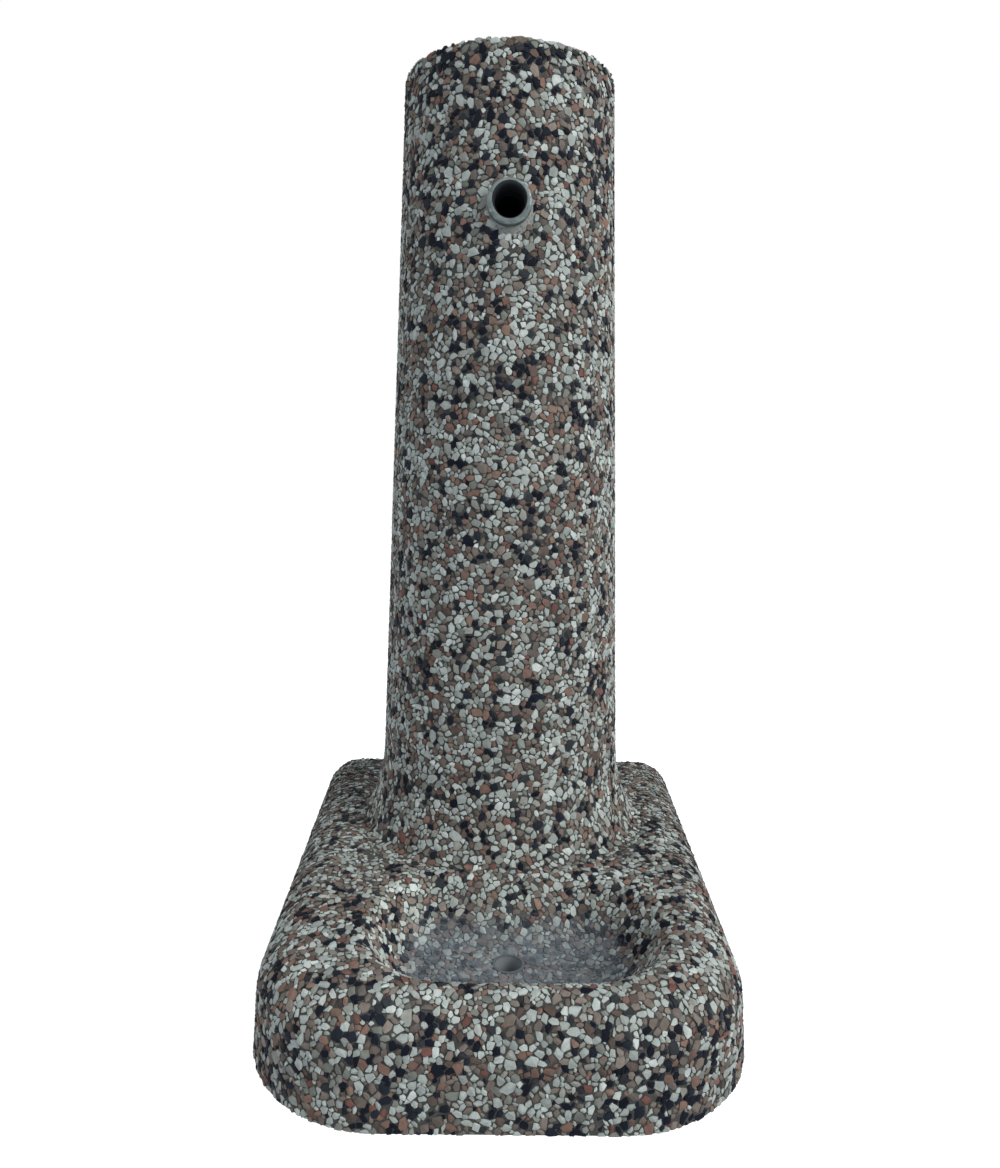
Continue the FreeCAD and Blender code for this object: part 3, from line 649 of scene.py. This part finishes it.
class Tree:
    """Short ways to add and join nodes in one node tree."""

    def __init__(self, tree):
        self.tree = tree

    def node(self, kind, values=None, **settings):
        """Add a node, set its own settings, then its input values or links by name or number."""
        made = self.tree.nodes.new("ShaderNode" + kind if kind[:4] != "Node" else kind)
        for name, value in settings.items():
            setattr(made, name, value)
        for name, value in (values or {}).items():
            if isinstance(value, bpy.types.NodeSocket):
                self.tree.links.new(value, made.inputs[name])
            else:
                made.inputs[name].default_value = value
        return made

    def place(self):
        """The place in the piece's own coordinates."""
        return self.node("TexCoord").outputs["Object"]

    def parts(self, vector):
        """The X, Y and Z of a vector."""
        return self.node("SeparateXYZ", {"Vector": vector}).outputs

    def scaled(self, colour, level):
        """A colour times a number."""
        return self.node("VectorMath", {0: colour, "Scale": level}, operation="SCALE").outputs[0]

    def math(self, operation, first, second=0.0, clamp=False):
        """A number worked out from one or two others."""
        return self.node("Math", {0: first, 1: second}, operation=operation, use_clamp=clamp).outputs[0]

    def mix(self, share, first, second, blend="MIX"):
        """Mix two colours by a share."""
        made = self.node("Mix", {"Factor": share, 6: first, 7: second}, data_type="RGBA", blend_type=blend)
        return made.outputs[2]

    def ramp(self, value, stops, interpolation="LINEAR"):
        """A colour ramp of (position, colour) stops."""
        made = self.node("ValToRGB", {"Fac": value})
        made.color_ramp.interpolation = interpolation
        elements = made.color_ramp.elements
        elements.remove(elements[-1])
        elements[0].position, elements[0].color = stops[0]
        for position, colour in stops[1:]:
            elements.new(position).color = colour
        return made.outputs["Color"]

    def noise(self, vector, scale, detail=2.0, roughness=0.5):
        """Smooth noise from 0 to 1."""
        return self.node("TexNoise", {"Vector": vector, "Scale": scale, "Detail": detail,
                                      "Roughness": roughness}).outputs["Fac"]

    def between(self, value, low, high):
        """The value's place between two limits, held within 0 and 1."""
        return self.node("MapRange", {"Value": value, "From Min": low, "From Max": high}).outputs["Result"]


def grain_group():
    """Fine mineral grain: a mottle that varies a colour, and a height for the bump."""
    group = new_group("mineral_grain",
                      [("Colour", "Color", (1, 1, 1, 1)), ("Fine Scale", "Float", 900.0),
                       ("Coarse Scale", "Float", 220.0), ("Strength", "Float", 0.3)],
                      [("Colour", "Color"), ("Height", "Float")])
    tree = Tree(group)
    given = tree.node("NodeGroupInput").outputs
    place = tree.place()
    fine = tree.noise(place, given["Fine Scale"], 3.0, 0.65)
    coarse = tree.noise(place, given["Coarse Scale"], 2.0, 0.5)
    both = tree.math("ADD", tree.math("MULTIPLY", fine, 0.5), tree.math("MULTIPLY", coarse, 0.5))
    swing = tree.math("MULTIPLY", tree.math("SUBTRACT", both, 0.5), given["Strength"])
    level = tree.math("ADD", tree.math("MULTIPLY", swing, 2.0), 1.0)
    tree.node("NodeGroupOutput", {"Colour": tree.scaled(given["Colour"], level), "Height": both})
    return group


def silt_group():
    """Grey silt on a colour: it lies where a mask says and is patchy at two scales."""
    group = new_group("silt",
                      [("Colour", "Color", (1, 1, 1, 1)), ("Silt", "Color", (0.2, 0.2, 0.2, 1)),
                       ("Mask", "Float", 0.0), ("Patchiness", "Float", 0.5)],
                      [("Colour", "Color")])
    tree = Tree(group)
    given = tree.node("NodeGroupInput").outputs
    place = tree.place()
    patches = tree.noise(place, 60.0, 4.0, 0.6)
    drawn = tree.node("VectorMath", {0: place, 1: (0.45, 1.0, 1.0)}, operation="MULTIPLY").outputs[0]
    spots = tree.noise(drawn, 300.0, 3.0, 0.6)
    uneven = tree.math("ADD", tree.math("MULTIPLY", patches, 0.55), tree.math("MULTIPLY", spots, 0.45))
    shortfall = tree.math("MULTIPLY", tree.math("SUBTRACT", 0.75, uneven), given["Patchiness"])
    cover = tree.math("SUBTRACT", given["Mask"], shortfall, clamp=True)
    tree.node("NodeGroupOutput", {"Colour": tree.mix(cover, given["Colour"], given["Silt"])})
    return group


def emptied(owner):
    """The tree of a material or world, with its first nodes cleared."""
    owner.use_nodes = True
    owner.node_tree.nodes.clear()
    return Tree(owner.node_tree)


def new_material(name):
    """A material, its tree, and its principled shader joined to the output."""
    material = bpy.data.materials.new(name)
    tree = emptied(material)
    shader = tree.node("BsdfPrincipled")
    tree.node("OutputMaterial", {"Surface": shader.outputs[0]})
    return material, tree, shader


def feed(tree, shader, **values):
    """Join or set the shader's sockets, given by their names with _ for a space."""
    for name, value in values.items():
        socket = shader.inputs[name.replace("_", " ")]
        if isinstance(value, bpy.types.NodeSocket):
            tree.tree.links.new(value, socket)
        else:
            socket.default_value = value


def placed_group(tree, group, values):
    """A node that uses a group, with its inputs set or joined."""
    return tree.node("Group", values, node_tree=group).outputs


def bump(tree, height, strength, distance):
    """A normal that follows a height."""
    return tree.node("Bump", {"Height": height, "Strength": strength, "Distance": distance}).outputs[0]


# Stone colours by kind: dark ones first, then browns, warm greys and pale ones
MINERALS = [
    (0.000, linear(17, 21, 31)), (0.070, linear(29, 34, 43)), (0.135, linear(45, 49, 53)),
    (0.165, linear(88, 77, 72)), (0.205, linear(114, 92, 83)), (0.260, linear(104, 74, 68)),
    (0.275, linear(119, 99, 88)), (0.300, linear(106, 98, 91)), (0.370, linear(101, 94, 90)),
    (0.420, linear(118, 110, 103)), (0.500, linear(114, 117, 111)), (0.560, linear(137, 139, 133)),
    (0.620, linear(149, 156, 152)), (0.720, linear(159, 167, 163)), (0.860, linear(152, 161, 157)),
    (0.955, linear(172, 179, 176)),
]


def basin_place(tree):
    """How far across and how far along from the basin's middle a place lies, and its height."""
    parts = tree.parts(tree.place())
    along = tree.math("SUBTRACT", parts["Y"], BASIN_Y)
    return tree.math("SUBTRACT", parts["X"], BASIN_X), tree.math("ABSOLUTE", along), parts["Z"]


def basin_mask(tree):
    """How much silt lies at a place: full on the basin's floor and less up its walls."""
    across, along, height = basin_place(tree)
    low = tree.between(height, BASE_TOP - 6 * MM, FLOOR_Z + 1 * MM)
    inside_x = tree.between(tree.math("ABSOLUTE", across), 106 * MM, 78 * MM)
    return tree.math("MULTIPLY", tree.math("MULTIPLY", low, inside_x), tree.between(along, 74 * MM, 50 * MM))


def painted_light_wall_mask(tree):
    """The basin's left wall, which faces the lamp: its stones are made paler there, as painted light."""
    across, along, height = basin_place(tree)
    wall = tree.math("MULTIPLY", tree.between(across, -56 * MM, -80 * MM),
                     tree.between(across, -122 * MM, -106 * MM))
    inside = tree.math("MULTIPLY", tree.between(along, 86 * MM, 66 * MM),
                       tree.between(height, BASE_TOP + 2 * MM, BASE_TOP - 6 * MM))
    return tree.math("MULTIPLY", wall, inside)


def stone_material(groups):
    """Crushed stones: mineral by kind, tone by stone, grain inside each, painted shade low on each stone's
    sides in the joints, painted light on the basin's left wall, silt in the basin.
    """
    material, tree, shader = new_material("crushed_stone")
    kind = tree.node("Attribute", attribute_name="stone_kind").outputs["Fac"]
    tone = tree.node("Attribute", attribute_name="stone_tone").outputs["Fac"]
    depth = tree.node("Attribute", attribute_name="stone_depth").outputs["Fac"]
    mineral = tree.ramp(kind, MINERALS, "CONSTANT")
    # Painted light: stones on the basin's left wall, which faces the lamp, are made up to 45% paler
    painted_light_level = tree.math("ADD", 1.0, tree.math("MULTIPLY", painted_light_wall_mask(tree), 0.45))
    toned = tree.scaled(mineral, tree.math("MULTIPLY", tone, painted_light_level))
    grain = placed_group(tree, groups["grain"], {"Colour": toned, "Strength": 0.42, "Fine Scale": 1500.0,
                                                 "Coarse Scale": 330.0})
    # Painted shade: each stone's sides turn darker towards the bed, where the joints lie in shade
    painted_joint_shade = tree.between(depth, 0.08, 0.62)
    with_painted_joint_shade = tree.mix(tree.math("MULTIPLY", painted_joint_shade, 0.85), grain["Colour"], linear(42, 43, 44))
    shade = tree.noise(tree.place(), 110.0, 4.0, 0.65)
    silt = tree.mix(tree.between(shade, 0.35, 0.65), linear(92, 99, 104), linear(130, 138, 143))
    silted = placed_group(tree, groups["silt"], {"Colour": with_painted_joint_shade, "Silt": silt,
                                                 "Mask": basin_mask(tree), "Patchiness": 1.7})
    rough = tree.math("ADD", 0.45, tree.math("MULTIPLY", grain["Height"], 0.4))
    feed(tree, shader, Base_Color=silted["Colour"], Roughness=rough, Specular_IOR_Level=0.07,
         Normal=bump(tree, grain["Height"], 0.3, 0.4 * MM))
    return material


def bed_material(groups):
    """Grey cement with sand in it, under blue-grey silt in the basin."""
    material, tree, shader = new_material("cement_bed")
    place = tree.place()
    sand = tree.node("TexVoronoi", {"Vector": place, "Scale": 700.0}).outputs["Distance"]
    base = tree.mix(tree.noise(place, 90.0, 3.0), linear(54, 56, 56), linear(82, 83, 80))
    sandy = tree.mix(tree.between(sand, 0.0, 0.5), base, linear(120, 118, 110), "MULTIPLY")
    mixed = tree.mix(0.5, base, sandy)
    grain = placed_group(tree, groups["grain"], {"Colour": mixed, "Strength": 0.5})
    silted = placed_group(tree, groups["silt"], {"Colour": grain["Colour"], "Silt": linear(100, 109, 118),
                                                 "Mask": basin_mask(tree), "Patchiness": 0.4})
    feed(tree, shader, Base_Color=silted["Colour"], Roughness=0.92,
         Normal=bump(tree, grain["Height"], 0.5, 0.6 * MM))
    return material


def cement_material(groups):
    """Plain trowelled cement with fine pits, which are painted dark as painted shade."""
    material, tree, shader = new_material("plain_cement")
    place = tree.place()
    pits = tree.between(tree.noise(place, 520.0, 4.0, 0.7), 0.30, 0.46)
    base = tree.mix(tree.noise(place, 120.0, 3.0), linear(112, 116, 114), linear(142, 145, 140))
    # Painted shade: the pits are painted near black
    base_with_painted_pit_shade = tree.mix(pits, linear(50, 52, 52), base)
    grain = placed_group(tree, groups["grain"], {"Colour": base_with_painted_pit_shade, "Strength": 0.35})
    feed(tree, shader, Base_Color=grain["Colour"], Roughness=0.88,
         Normal=bump(tree, pits, 0.4, 0.5 * MM))
    return material


def painted_bore_shade_mask(tree, place):
    """Full in the outlet's bore and on the upper edge of its mouth, where the zinc is painted near black as
    painted shade.
    """
    parts = tree.parts(place)
    across = tree.math("POWER", parts["X"], 2.0)

    def within(rise, radius):
        """Full within a radius of a line that lies this far above the outlet's axis."""
        height = tree.math("POWER", tree.math("SUBTRACT", parts["Z"], OUTLET_Z + rise), 2.0)
        reach = tree.math("SQRT", tree.math("ADD", across, height))
        return tree.between(reach, radius + 0.4 * MM, radius)

    behind = tree.between(parts["Y"], OUTLET_FRONT + 0.05 * MM, OUTLET_FRONT + 0.9 * MM)
    bore = tree.math("MULTIPLY", within(0.0, BORE_RADIUS), behind)
    return tree.math("MAXIMUM", bore, tree.math("MULTIPLY", within(1.5 * MM, BORE_RADIUS + 0.1 * MM), 0.95))


def zinc_material(groups):
    """Dull zinc: large crystals that differ in tone, a chalky film and fine grain.

    The outlet is painted darker towards its underside and painted black in its bore: both are painted shade.
    """
    material, tree, shader = new_material("dull_zinc")
    place = tree.place()
    crystals = tree.node("TexVoronoi", {"Vector": place, "Scale": 260.0}).outputs["Color"]
    tone = tree.node("SeparateColor", {"Color": crystals}).outputs[0]
    height = tree.parts(place)["Z"]
    # Painted shade: half of the zinc's tone is a ramp that is lighter at the top and darker towards the
    # underside; the other half is the crystals' own tone
    up = tree.between(height, OUTLET_Z - SOCKET_RADIUS, OUTLET_Z + SOCKET_RADIUS)
    crystal_tone_and_painted_shade = tree.math("MULTIPLY", tree.math("ADD", tone, up), 0.5)
    base = tree.mix(crystal_tone_and_painted_shade, linear(66, 76, 77), linear(132, 143, 142))
    film = tree.between(tree.noise(place, 150.0, 5.0, 0.65), 0.42, 0.62)
    filmed = tree.mix(tree.math("MULTIPLY", film, 0.6), base, linear(100, 112, 112))
    grain = placed_group(tree, groups["grain"], {"Colour": filmed, "Strength": 0.22})
    # Painted shade: the bore and the upper edge of the mouth are painted near black and made dull
    dark = painted_bore_shade_mask(tree, place)
    painted_bore_shade_colour = tree.mix(tree.math("MULTIPLY", dark, 0.97), grain["Colour"], linear(19, 20, 24))
    rough = tree.math("ADD", 0.36, tree.math("MULTIPLY", tree.math("MAXIMUM", film, dark), 0.4))
    plain = tree.math("SUBTRACT", 0.85, tree.math("MULTIPLY", film, 0.55))
    metallic = tree.math("MULTIPLY", plain, tree.math("SUBTRACT", 1.0, dark))
    gloss = tree.math("SUBTRACT", 0.5, tree.math("MULTIPLY", dark, 0.42))
    feed(tree, shader, Base_Color=painted_bore_shade_colour, Roughness=rough, Metallic=metallic, Specular_IOR_Level=gloss,
         Normal=bump(tree, grain["Height"], 0.18, 0.3 * MM))
    return material


def rusty_material(groups):
    """Bare steel bar with brown mill rust."""
    material, tree, shader = new_material("rusty_bar")
    place = tree.place()
    rust = tree.between(tree.noise(place, 180.0, 5.0, 0.7), 0.35, 0.65)
    base = tree.mix(rust, linear(92, 84, 80), linear(118, 72, 50))
    grain = placed_group(tree, groups["grain"], {"Colour": base, "Strength": 0.4})
    feed(tree, shader, Base_Color=grain["Colour"], Roughness=0.8,
         Metallic=tree.math("MULTIPLY", tree.math("SUBTRACT", 1.0, rust), 0.6),
         Normal=bump(tree, grain["Height"], 0.3, 0.3 * MM))
    return material


def plastic_material(groups):
    """Dull grey pipe plastic, silted a little, with a darker rim."""
    material, tree, shader = new_material("grey_drain_plastic")
    place = tree.place()
    base = tree.mix(tree.noise(place, 70.0, 3.0), linear(104, 110, 113), linear(122, 128, 131))
    grain = placed_group(tree, groups["grain"], {"Colour": base, "Strength": 0.16})
    silted = placed_group(tree, groups["silt"], {"Colour": grain["Colour"], "Silt": linear(118, 125, 129),
                                                 "Mask": 0.7, "Patchiness": 0.8})
    height = tree.parts(place)["Z"]
    rim = tree.between(height, FLOOR_Z - 1.5 * MM, FLOOR_Z - 0.2 * MM)
    dulled = tree.mix(rim, silted["Colour"], linear(84, 91, 95))
    feed(tree, shader, Base_Color=dulled, Roughness=0.75,
         Normal=bump(tree, grain["Height"], 0.1, 0.2 * MM))
    return material


def make_materials():
    """Every finish by its name. The two groups that they share are built once."""
    groups = {"grain": grain_group(), "silt": silt_group()}
    return {
        "stone": stone_material(groups),
        "bed": bed_material(groups),
        "cement": cement_material(groups),
        "zinc": zinc_material(groups),
        "rust": rusty_material(groups),
        "plastic": plastic_material(groups),
    }


# The fountain

def dress_inner_nodes(materials):
    """Materials for the pieces whose own shape is kept."""
    finishes = {
        "zinc": ["riser_pipe", "top_elbow", "outlet_nipple", "inlet_socket"],
        "rust": ["dowel_bars", "column_bars", "column_links", "mesh_long_bars", "mesh_cross_bars"],
        "cement": ["inlet_mortar", "bedding_mortar"],
        "plastic": ["drain_tube"],
    }
    for finish, names in finishes.items():
        for name in names:
            mesh = nodes[name].data
            mesh.materials.clear()
            mesh.materials.append(materials[finish])


def cove_piece(material):
    """The cement under the stones of the cove between foot and base."""
    radius, height = cove_profile(6)
    points = revolved(radius - 0.5 * MM, height - BED_DEPTH, 180)
    piece = mesh_of("foot_cove_bed", points.reshape(-1, 3), grid_quads(6, 180, True), smooth=True)
    return finish_piece(piece, material)


def build_concrete(materials):
    """Both castings: the cement beds, and the stones over all their outer faces."""
    column_mesh = outer_shell("column")
    base_mesh = outer_shell("basin_base")
    parts = []
    for sources, fineness in (([column_faces(column_mesh), outlet_faces(), cove_faces()], COLUMN_FINENESS),
                              ([base_faces(base_mesh)], BASE_FINENESS)):
        points = np.concatenate([source[0] for source in sources])
        normals = np.concatenate([source[1] for source in sources])
        parts.append(fill_with_stones(points, normals, bare_places, fineness))
    places, ups, widths = (np.concatenate(values) for values in zip(*parts))
    near = neighbours_of(places)
    shapes = stone_points(places, ups, widths, near)
    kinds = stone_kinds(places, near)
    tones = np.clip(RNG.normal(1.0, 0.12, len(places)), 0.65, 1.3)
    column_bed = bed_piece("column_cement_bed", column_mesh, column_outward(column_mesh))
    finish_piece(column_bed, materials["bed"], ["column"])
    base_bed = bed_piece("base_cement_bed", base_mesh, base_outward(base_mesh))
    finish_piece(base_bed, materials["bed"], ["basin_base"])
    cove_piece(materials["bed"])
    on_base = places[:, 2] < BASE_TOP + 0.2 * MM
    for name, chosen, along in (("base_stones", on_base, 1), ("column_stones", ~on_base, 2)):
        order = np.flatnonzero(chosen)
        order = order[places[order, along].argsort()]
        for number, part in enumerate(np.array_split(order, math.ceil(len(order) / STONES_EACH)), 1):
            piece = stone_piece("%s_%d" % (name, number), shapes[part], kinds[part], tones[part])
            finish_piece(piece, materials["stone"])


# Camera, lights and floor: the camera's values are fitted to the photograph's outline

PHOTO_HEIGHT = 1168
FOCAL_PIXELS = 832.94
CAMERA_AT = (-7.95 * MM, -700.5 * MM, 412.46 * MM)
CAMERA_PITCH = 0.13534
CAMERA_ROLL = -0.01439
CAMERA_YAW = 0.00684
SENSOR = 36.0
WHITE = (1, 1, 1, 1)
SKY_LOW = (0.39, 0.40, 0.41, 1)
SKY_HIGH = (0.66, 0.68, 0.71, 1)
FLOOR_PAINT = (0.42, 0.44, 0.48, 1)
FLOOR_GLOW = 0.84
FLOOR_HALF = 6


def make_camera():
    """The camera at the photograph's place: yaw, then pitch, then roll about its own view."""
    data = bpy.data.cameras.new("camera")
    data.sensor_width = SENSOR
    data.lens = FOCAL_PIXELS / PHOTO_HEIGHT * SENSOR
    data.clip_start = 0.01
    data.clip_end = 50
    camera = add_object("camera", data)
    level = Vector((math.cos(CAMERA_YAW), -math.sin(CAMERA_YAW), 0))
    ahead = Vector((math.sin(CAMERA_YAW), math.cos(CAMERA_YAW), 0))
    forward = ahead * math.cos(CAMERA_PITCH) - Vector((0, 0, 1)) * math.sin(CAMERA_PITCH)
    raised = ahead * math.sin(CAMERA_PITCH) + Vector((0, 0, 1)) * math.cos(CAMERA_PITCH)
    right = level * math.cos(CAMERA_ROLL) - raised * math.sin(CAMERA_ROLL)
    up = level * math.sin(CAMERA_ROLL) + raised * math.cos(CAMERA_ROLL)
    turn = Matrix((right, up, -forward)).transposed().to_4x4()
    camera.matrix_world = Matrix.Translation(CAMERA_AT) @ turn
    bpy.context.scene.camera = camera


def area_lamp(name, place, aim, width, power, colour):
    """A soft square lamp that faces a point."""
    data = bpy.data.lights.new(name, "AREA")
    data.shape = "RECTANGLE"
    data.size = width
    data.size_y = width
    data.energy = power
    data.color = colour
    lamp = add_object(name, data)
    lamp.location = place
    lamp.rotation_euler = (Vector(aim) - Vector(place)).to_track_quat("-Z", "Y").to_euler()


def background_seen(tree):
    """1 for the rays that show the background: straight on, mirrored or through glass."""
    ray = tree.node("LightPath").outputs
    mirrored = tree.math("MAXIMUM", ray["Is Glossy Ray"], ray["Is Transmission Ray"])
    return tree.math("MAXIMUM", ray["Is Camera Ray"], mirrored)


def make_lights():
    """Soft daylight from the front right and above, a weak one from the left, and a fill from the sky."""
    area_lamp("right_window", (2.6, -1.95, 2.2), (0, 0, 0.35), 1.9, 123, (1.0, 0.985, 0.955))
    area_lamp("left_window", (-2.6, -1.2, 1.5), (0, 0, 0.3), 1.6, 15, (0.96, 0.98, 1.0))
    world = bpy.data.worlds.new("plain_sky")
    tree = emptied(world)
    up = tree.parts(tree.node("TexCoord").outputs["Generated"])["Z"]
    sky = tree.ramp(tree.between(up, -0.3, 0.9), [(0.0, SKY_LOW), (1.0, SKY_HIGH)])
    colour = tree.mix(background_seen(tree), sky, WHITE)
    shade = tree.node("Background", {"Color": colour, "Strength": 1.0})
    tree.node("OutputWorld", {"Surface": shade.outputs[0]})
    bpy.context.scene.world = world


def make_floor():
    """A wide pale floor that shows white to the camera and in mirrors, and keeps a soft shadow."""
    points = np.array([[-1, -1, 0], [1, -1, 0], [1, 1, 0], [-1, 1, 0]]) * FLOOR_HALF
    floor = mesh_of("pale_floor", points, np.array([[0, 1, 2, 3]]))
    material = bpy.data.materials.new("pale_floor")
    tree = emptied(material)
    paint = tree.node("BsdfDiffuse", {"Color": FLOOR_PAINT})
    strength = tree.math("MULTIPLY", background_seen(tree), FLOOR_GLOW)
    glow = tree.node("Emission", {"Color": WHITE, "Strength": strength})
    both = tree.node("AddShader", {0: paint.outputs[0], 1: glow.outputs[0]})
    tree.node("OutputMaterial", {"Surface": both.outputs[0]})
    floor.data.materials.append(material)


def build():
    """The fountain, its camera, its lights and its floor."""
    materials = make_materials()
    dress_inner_nodes(materials)
    build_concrete(materials)
    collar_piece(materials["cement"])
    socket_piece(materials["zinc"])
    make_camera()
    make_lights()
    make_floor()
    bpy.context.scene.view_settings.view_transform = "Standard"


build()
